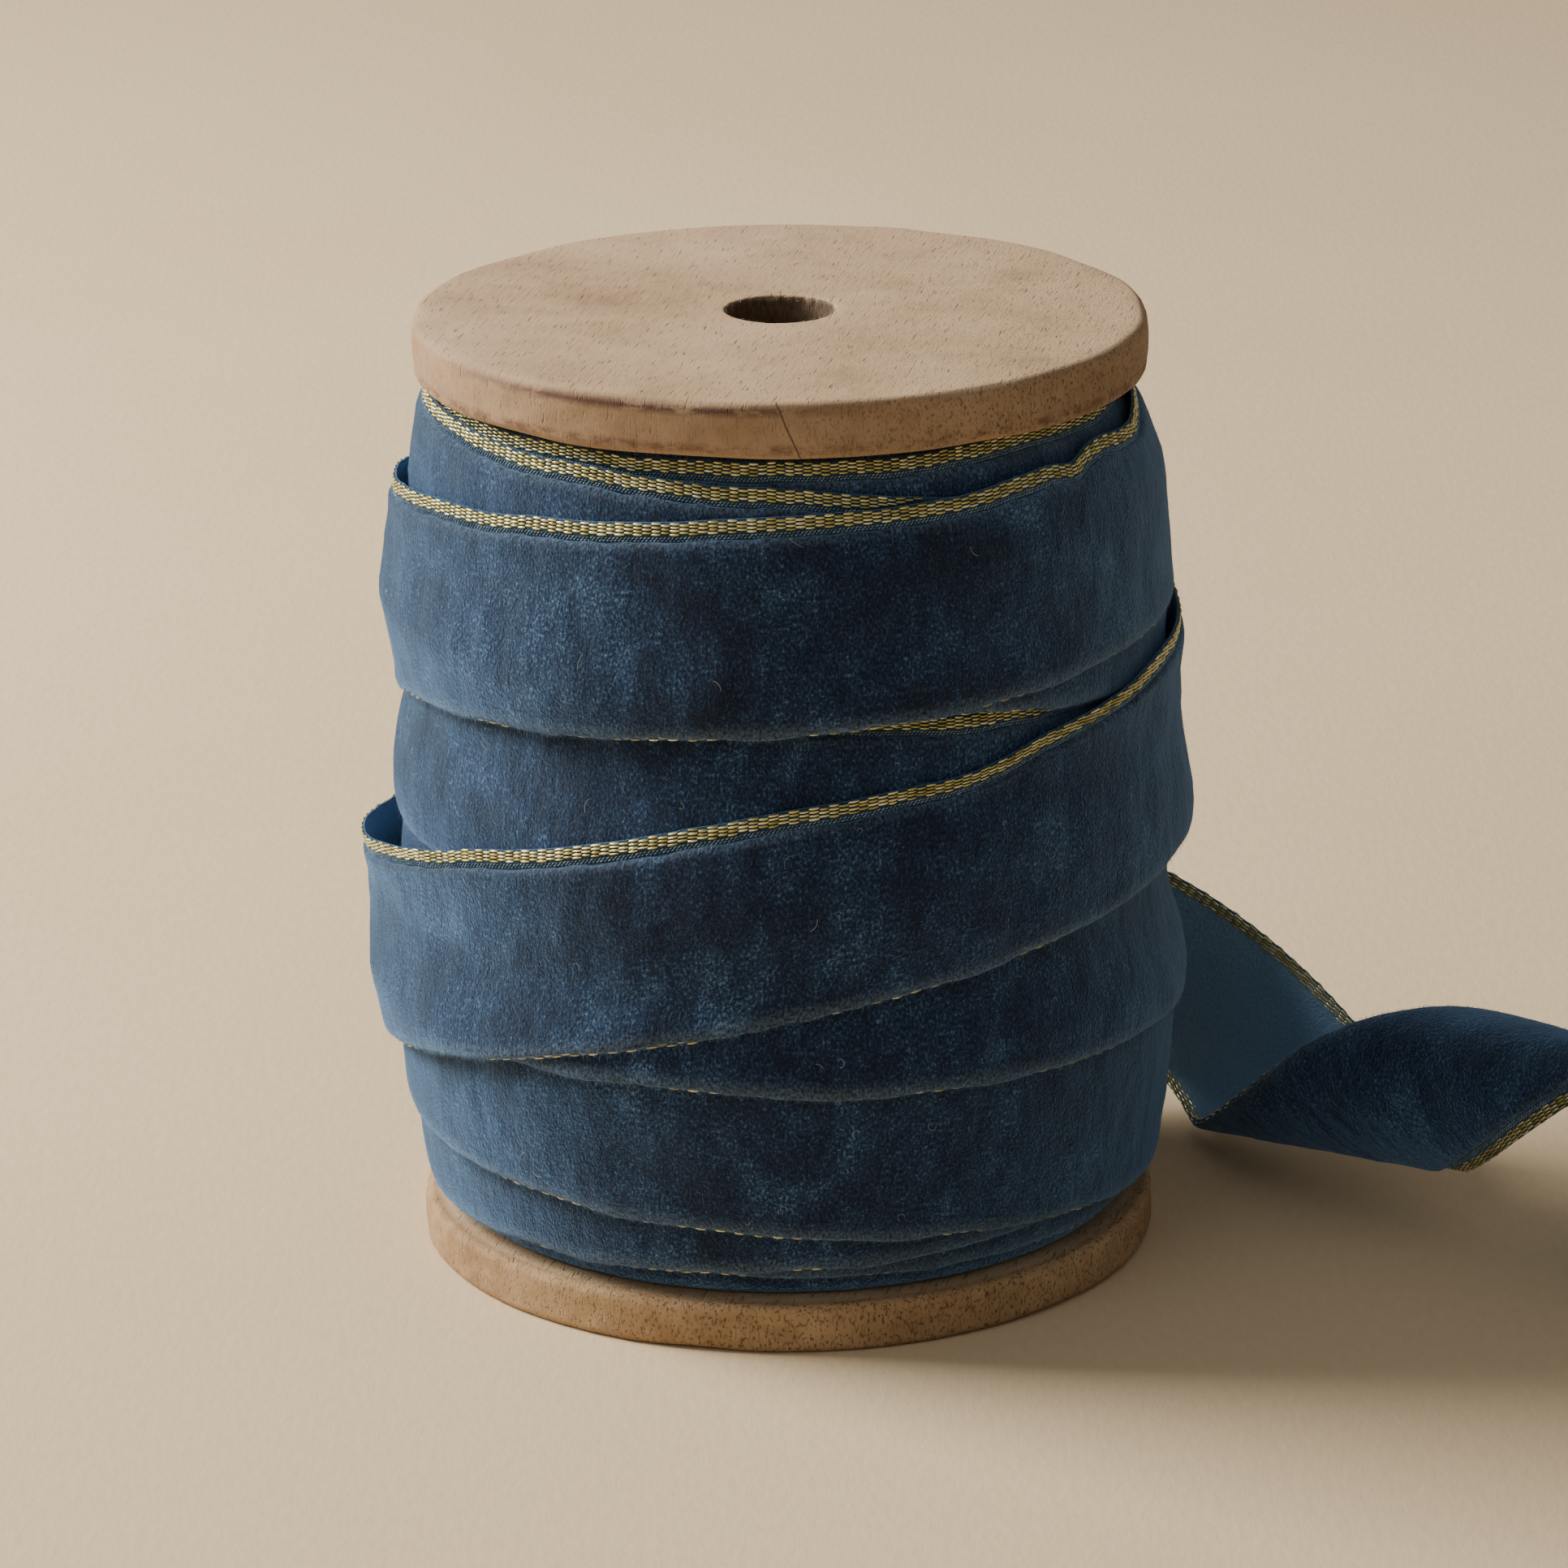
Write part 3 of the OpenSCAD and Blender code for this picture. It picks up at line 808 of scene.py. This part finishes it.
def build_turn(i):
    s = np.linspace(4 * (i - 1), 4 * i, RINGS + 1) * quarter_len
    s = np.concatenate([[s[0] - END_LAP], s, [s[-1] + END_LAP]])
    q = s / quarter_len
    # the pile stands up where no later turn presses on it
    v, out, pile = cloth_profile(s, np.ones_like(s))
    pressed = hidden(np.repeat(q[:, None], v.shape[1], 1), v)
    high = mix(FREE_PILE, PRESSED_PILE, pressed)
    out = np.where(out > ground, ground + (out - ground) / (1 - ground) * (high - ground), out)
    out[[0, -1]] = end_inside(out[[0, -1]])
    long = s[:, None] + 0 * v
    p, faces = loft(on_turn(long, v, out))
    turn = make(f"velvet_turn_{i}", p, faces, VELVET,
                lay=np.stack([long, v, pile], -1).reshape(-1, 3))
    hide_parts(f"ribbon_turn_{i}")
    s = s[1:-1]
    cs, cv = selvedge_floats(s[0], s[-1], shown)
    gold = floats_piece(f"gold_floats_{i}", on_turn, cs, cv, GOLD_FLOAT, GOLD, i)
    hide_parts(f"gold_edges_{i}")
    cs, cv = stitch_middles(s[0], s[-1])
    ok = shown(cs, cv)
    stitches = floats_piece(f"ground_stitches_{i}", on_turn, cs[ok], cv[ok], STITCH_FLOAT, GROUND,
                            50 + i, STITCH_TILT)
    # pile fibres, and more of them along the pile's lower edge
    rng = np.random.default_rng(100 + i)
    n = int((s[-1] - s[0]) * PILE_W * FUZZ_PER_MM2)
    fs, fv = rng.uniform(s[0], s[-1], n), rng.uniform(*FUZZ_V, n)
    edge = int((s[-1] - s[0]) * EDGE_FUZZ_PER_MM)
    fs = np.concatenate([fs, rng.uniform(s[0], s[-1], edge)])
    fv = np.concatenate([fv, 0.28 + 0.40 * rng.random(edge) + 0.34 * noise(fs[n:] / 7, 2.2, CLOTH_SEED)])
    under_disc = 12     # the first turn's start, which the top disc hides
    ok = (hidden(fs / quarter_len, fv) < 0.5) & (fs > under_disc)
    fs, fv = fs[ok], fv[ok]
    n = len(fs)
    swirl = 0.5 * noise(fs / 7, fv / 5, 61) + 0.35 * rng.standard_normal(n)
    length = rng.uniform(*FUZZ_LENGTH, n) * (1 + 0.8 * (rng.random(n) < 0.06))
    ds, dv = length * np.sin(swirl) * 0.8, -length * np.cos(swirl) * 0.8
    rise = length * rng.uniform(0.10, 0.42, n)
    fuzz = fibres_piece(f"pile_fibres_{i}", on_turn, fs, fv, np.where(fv < 1.1, 0.75, 0.98), ds, dv, rise,
                        rng.uniform(*FUZZ_WIDTH, n), FUZZ, i)


def build_pack():
    """The hidden turns: one crowned body whose end faces show the wound layers' edges."""
    layers = int(round((pack_end_r - barrel_r) / (ribbon_t + layer_gap)))
    prof = [(barrel_r + 0.2, pack_low + 0.6)]
    r = np.linspace(barrel_r + 0.2, pack_end_r - 0.1, layers * 6 + 1)
    dip = 0.45 * (0.5 + 0.5 * np.cos(np.linspace(0, 2 * math.pi * layers, len(r))))
    prof += [(a, pack_low + 0.02 + d) for a, d in zip(r, dip)]
    z = np.linspace(pack_low + 0.5, pack_high - 0.5, 60)
    prof += [(float(pack_r(np.array(h))), h) for h in z]
    prof += [(a, pack_high - 0.02 - d) for a, d in zip(r[::-1], dip[::-1])]
    prof = np.array(prof)
    n, m = 180, len(prof)
    a = np.arange(n) * 360 / n
    ang, rr = np.meshgrid(a, prof[:, 0], indexing="ij")
    _, zz = np.meshgrid(a, prof[:, 1], indexing="ij")
    rr = rr + np.where(rr > 40, 0.06 * noise(ang / 4, zz / 3, 9) - 0.1, 0)
    rr = rr - squeeze(ang, zz) * clamp01((rr - barrel_r) / 12)
    p = polar(rr, ang, zz)
    i, j = np.meshgrid(np.arange(n), np.arange(m), indexing="ij")
    i2, j2 = (i + 1) % n, (j + 1) % m
    quads = np.stack([i * m + j, i2 * m + j, i2 * m + j2, i * m + j2], -1).reshape(-1, 4)
    lay = np.stack([ang * 0.75, zz, np.ones_like(zz)], -1).reshape(-1, 3)
    o = make("wound_pack", p, [quads], VELVET, lay=lay)
    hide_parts("wound_layers")


def build_tail():
    s = np.concatenate([[-lead_len - END_LAP], np.linspace(-lead_len, 0, 40)[:-1],
                        np.linspace(0, tail_len, 200)])
    thick = mix(FREE_PILE, 1.15, ease(1 + s / lead_len))
    v, out, pile = cloth_profile(s + 4 * turns * quarter_len + lead_len, thick)
    out[0] = end_inside(out[0])
    long = s[:, None] + 0 * v
    p, faces = loft(tail(long, v, out))
    o = make("velvet_tail", p, faces, VELVET,
             lay=np.stack([long + 4 * turns * quarter_len + lead_len, v, pile], -1).reshape(-1, 3))
    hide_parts("ribbon_tail")
    cs, cv = selvedge_floats(-lead_len, tail_len - 0.8, lambda s, v: v >= 0)
    gold = floats_piece("gold_floats_tail", tail, cs, cv, GOLD_FLOAT, GOLD, 20)
    gold_back = floats_piece("gold_floats_tail_back", tail, cs + GROUP / 2, cv, GOLD_BACK_FLOAT, GOLD,
                             21)
    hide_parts("tail_gold_edges")
    cs, cv = stitch_middles(-lead_len, tail_len - 1)
    stitches = floats_piece("ground_stitches_tail", tail, cs, cv, STITCH_FLOAT, GROUND,
                            70, STITCH_TILT)
    rng = np.random.default_rng(300)
    n = int((tail_len + lead_len) * PILE_W * FUZZ_PER_MM2)
    edge = int((tail_len + lead_len) * 14)
    fs, fv = rng.uniform(-lead_len, tail_len - 0.3, n + edge), rng.uniform(*FUZZ_V, n + edge)
    fv[n:] = 0.75 + 0.35 * rng.random(edge)
    n += edge
    swirl = 0.4 * rng.standard_normal(n)
    length = rng.uniform(*FUZZ_LENGTH, n)
    fuzz = fibres_piece("pile_fibres_tail", tail, fs, fv, 1.05 + 0 * fs, length * np.sin(swirl) * 0.8,
                        -length * np.cos(swirl) * 0.8, length * rng.uniform(0.15, 0.5, n),
                        rng.uniform(*FUZZ_WIDTH, n), FUZZ, 40)
    # threads frayed from the cut end
    n = 90
    fray_v = np.linspace(0.3, ribbon_w - 0.3, n) + 0.1 * rng.standard_normal(n)
    fray = fibres_piece("frayed_end", tail, np.full(n, tail_len - 0.4), fray_v, rng.uniform(0.1, 0.7, n),
                        rng.uniform(0.5, 1.5, n), 0.35 * rng.standard_normal(n), 0.2 * rng.standard_normal(n),
                        np.full(n, 0.06), FUZZ, 41)


def build_lint():
    """A few longer pale hairs caught in the pile."""
    rng = np.random.default_rng(7)
    n, steps = 240, 6
    pts, quads, own = [], [], []
    for h in range(n):
        i = rng.integers(2, turns + 1)
        s0, v0 = rng.uniform(4 * (i - 1), 4 * i) * quarter_len, rng.uniform(1.5, 22)
        if hidden(np.array(s0 / quarter_len), np.array(v0)) > 0.3:
            continue
        a, curl, step = rng.uniform(0, 6.3), rng.uniform(-0.9, 0.9), rng.uniform(0.16, 0.34)
        s, v = [s0], [v0]
        for k in range(steps):
            a += curl
            s.append(s[-1] + step * math.cos(a))
            v.append(v[-1] + step * math.sin(a))
        s, v = np.array(s), np.array(v)
        lift = 1.3 + 0.30 * np.sin(np.linspace(0, math.pi, steps + 1)) * rng.random()
        c = on_turn(s, v, lift)
        side = np.cross(np.gradient(c, axis=0), c * [1, 1, 0])
        side /= np.linalg.norm(side, axis=1)[:, None] + 1e-9
        base = sum(len(x) for x in pts)
        pts.append(np.concatenate([c - side * 0.018, c + side * 0.018]))
        own.append(np.tile([rng.random(), 0.5, 0.5], (2 * steps + 2, 1)))
        quads += [(base + k, base + k + 1, base + steps + 2 + k, base + steps + 1 + k) for k in range(steps)]
    make("lint_hairs", np.concatenate(pts), [np.array(quads)], LINT, lay=np.concatenate(own))


build_pack()
for i in range(1, turns + 1):
    build_turn(i)
build_tail()
build_lint()


# ---------------------------------------------------------------- the wooden discs
def disc_piece(name, node, r, z0, t, recess_up, wood, seed):
    """A worn disc: rounded edges that vary, waves in its faces, a torn bore and the recess for the tenon."""
    arc = np.linspace(0, math.pi / 2, 7)
    e = flange_edge_r
    outer = [(r - e + e * math.sin(b), e - e * math.cos(b)) for b in arc]
    outer += [(r, h) for h in np.linspace(e, t - e, 7)[1:-1]]
    outer += [(r - e + e * math.cos(b), t - e + e * math.sin(b)) for b in arc]
    plain = [(a, t) for a in np.linspace(r - e, bore_r + 0.5, 26)[1:]]
    lip = [(bore_r + 0.22, t - 0.05), (bore_r + 0.05, t - 0.25)]
    depth = tenon_h + tenon_end_gap
    wall = [(bore_r, h) for h in np.linspace(t - 0.6, depth, 8)]
    recess = [(tenon_r + glue_gap, depth), (tenon_r + glue_gap, 0), (tenon_r + 1, 0)]
    under = [(a, 0) for a in np.linspace(tenon_r + 3, r - e, 10)[:-1]]
    prof = np.array(outer + plain + lip + wall + recess + under)
    if recess_up:       # the recess opens upward, as in the lower disc
        prof = prof * [1, -1] + [0, t]
    n, m = 400, len(prof)
    a = np.arange(n) * 360 / n
    ang, rr = np.meshgrid(a, prof[:, 0], indexing="ij")
    _, zz = np.meshgrid(a, prof[:, 1], indexing="ij")
    # wear: the edges give way by different amounts round the disc
    c, s = np.cos(np.radians(ang)), np.sin(np.radians(ang))
    on_rim = ease((rr - (r - 2.5)) / 2.5)
    rough = 0.10 * noise(c * 6 + 31, s * 6 + zz / 3, seed) + 0.05 * noise(c * 21, s * 21 + zz, seed + 1) \
        + 0.02 * noise(c * 70, s * 70 + zz * 2, seed + 4)
    upper = ease((zz - t + 1.6) / 1.6)
    lower = ease((1.6 - zz) / 1.6)
    worn = 0.35 * clamp01(noise(c * 4, s * 4 + 9, seed + 2) + 0.1) * (upper + lower) * on_rim
    rr = rr + np.where(rr > bore_r + 1, (rough - worn) * on_rim - 0.05 * on_rim, 0)
    if not recess_up:
        wave = 0.05 * noise(rr * c / 9 + 3, rr * s / 9, seed + 3)
        zz = zz + np.where((rr < r - 0.5) & (zz > t - 0.3), wave - 0.05, 0)
    zz = zz - (upper - lower) * worn * 0.5
    lipped = np.exp(-((rr - bore_r) / 0.35) ** 2) * (zz > t - 0.9)
    rr = rr + lipped * 0.16 * noise(c * 9, s * 9 + 5, seed + 6)
    p = polar(rr, ang, zz + z0)
    i, j = np.meshgrid(np.arange(n), np.arange(m), indexing="ij")
    i2, j2 = (i + 1) % n, (j + 1) % m
    quads = np.stack([i * m + j, i2 * m + j, i2 * m + j2, i * m + j2], -1).reshape(-1, 4)
    if recess_up:
        quads = quads[:, ::-1]
    o = make(name, p, [quads], wood)
    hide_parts(node)


disc_piece("top_disc", "top_flange", top_flange_r, spool_h - top_flange_t, top_flange_t, False,
           top_wood(), 11)
disc_piece("bottom_disc", "bottom_flange", bottom_flange_r, 0, bottom_flange_t, True, bottom_wood(), 21)


def build_splinters():
    """Torn fibres round the spindle hole's lip."""
    rng = np.random.default_rng(5)
    n = 150
    a = rng.uniform(0, 360, n)
    along = rng.uniform(0.3, 1.1, n)
    r0 = bore_r + rng.uniform(-0.05, 0.35, n)
    z0 = spool_h - rng.uniform(0.02, 0.7, n)
    sweep = np.radians(rng.uniform(-60, 60, n))
    pts = []
    for k in range(n):
        base = polar(np.array(r0[k]), a[k], z0[k])
        out = polar(np.array(1.0), a[k], 0)
        side = polar(np.array(1.0), a[k] + 90, 0)
        rise = np.array([0, 0, rng.uniform(-0.25, 0.12)])
        d = -out * math.cos(sweep[k]) * 0.55 + side * math.sin(sweep[k]) + rise
        w = side * rng.uniform(0.03, 0.08)
        lift = np.array([0, 0, 0.05])
        tip = base + d * along[k] * 0.8
        pts.append([base - w, base + w, base + lift, tip])
    pts = np.array(pts)
    base = (np.arange(n) * 4)[:, None]
    tris = np.concatenate([np.array([t]) + base for t in ((0, 1, 3), (1, 2, 3), (2, 0, 3), (0, 2, 1))])
    make("bore_splinters", pts, [tris], splinter_material(), smooth=False)


build_splinters()

for node, look in (("core_barrel", barrel_wood()), ("start_tape", paper_material())):
    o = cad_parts[node]
    o.data.materials.clear()
    o.data.materials.append(look)

# ---------------------------------------------------------------- setting
floor_mesh = bpy.data.meshes.new("floor")
floor_mesh.from_pydata([(-3, -3, 0), (3, -3, 0), (3, 3, 0), (-3, 3, 0)], [], [(0, 1, 2, 3)])
floor_mesh.materials.append(floor_material())
floor = bpy.data.objects.new("floor", floor_mesh)
bpy.context.scene.collection.objects.link(floor)


def area_light(name, place, target, size, power, colour):
    data = bpy.data.lights.new(name, "AREA")
    data.shape, data.size, data.size_y = "RECTANGLE", size[0], size[1]
    data.energy, data.color = power, colour
    o = bpy.data.objects.new(name, data)
    o.location = place
    o.rotation_euler = (Vector(target) - Vector(place)).to_track_quat("-Z", "Y").to_euler()
    bpy.context.scene.collection.objects.link(o)


area_light("key", (-0.95, 0.30, 0.70), (0, 0, 0.05), (0.6, 0.6), 37.5, (1.0, 0.955, 0.885))
area_light("fill", (-0.75, -0.85, 0.70), (0, 0, 0.05), (0.8, 0.8), 1.8, (1.0, 0.96, 0.90))
world = bpy.data.worlds.new("world")
world.use_nodes = True
world.node_tree.nodes["Background"].inputs[0].default_value = (0.86, 0.82, 0.76, 1)
world.node_tree.nodes["Background"].inputs[1].default_value = 0.36
bpy.context.scene.world = world
